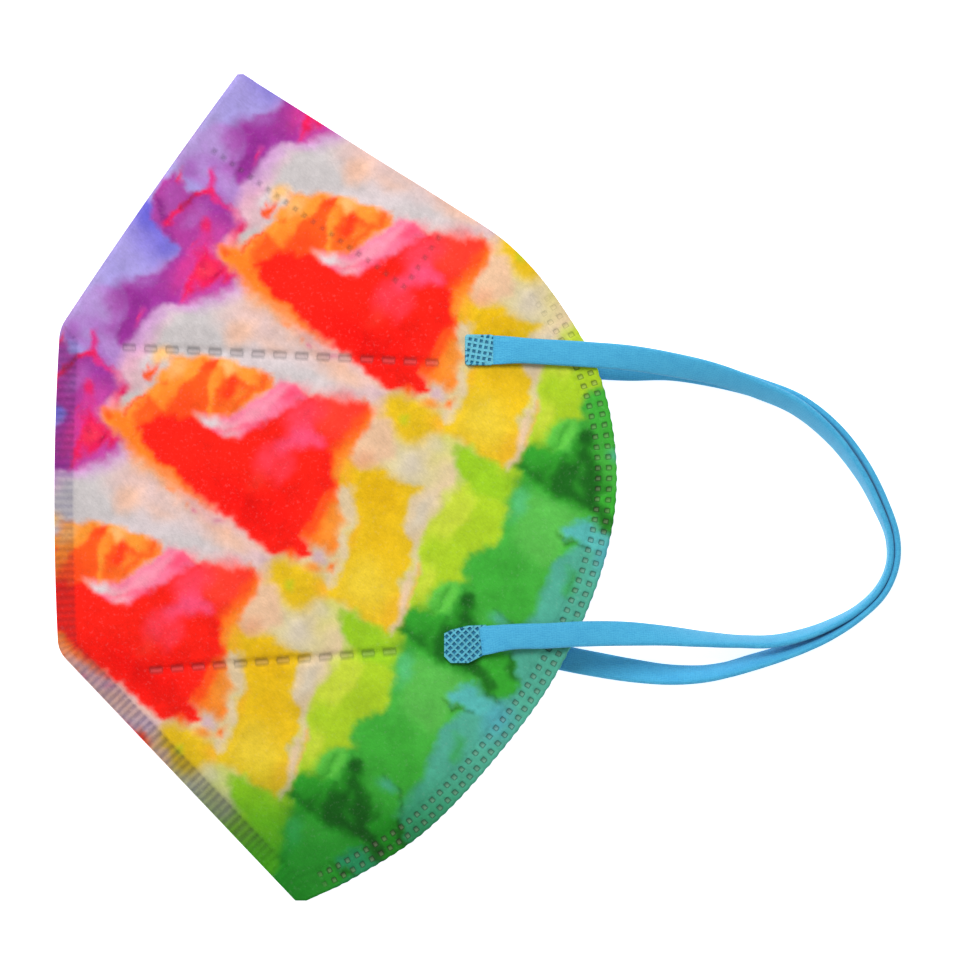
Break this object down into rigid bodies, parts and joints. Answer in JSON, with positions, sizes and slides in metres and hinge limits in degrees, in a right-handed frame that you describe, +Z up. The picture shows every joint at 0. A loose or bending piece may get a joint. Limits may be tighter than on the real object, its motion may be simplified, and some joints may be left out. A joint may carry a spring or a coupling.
{
  "type": "disposable respirator",
  "caption": "Fold-flat disposable respirator lying on its side: a printed nonwoven shell folded at the nose, with a crimped front and chin weld, an open cheek edge and flat elastic ear loops.",
  "frame": {"origin": "middle of the folded shell's outline, on the surface that the respirator lies on", "axes": "+Z up from the surface, through the two halves; +Y along the shell towards its nose tip; +X from the front weld towards the open cheek edge and the ear loops"},
  "size_m": [0.1622, 0.1584, 0.0144],
  "materials": {
    "printed_nonwoven": "matt spunbond nonwoven with a rainbow tie-dye print outside, white inside",
    "loop_elastic": "matt light blue knitted elastic, pressed to a waffle at its welded ends"
  },
  "bodies": {
    "root": {"folded_shell": "printed_nonwoven", "near_upper_pad": "loop_elastic", "near_lower_pad": "loop_elastic", "far_upper_pad": "loop_elastic", "far_lower_pad": "loop_elastic", "near_ear_loop": "loop_elastic", "far_ear_loop": "loop_elastic"}
  },
  "joints": []
}
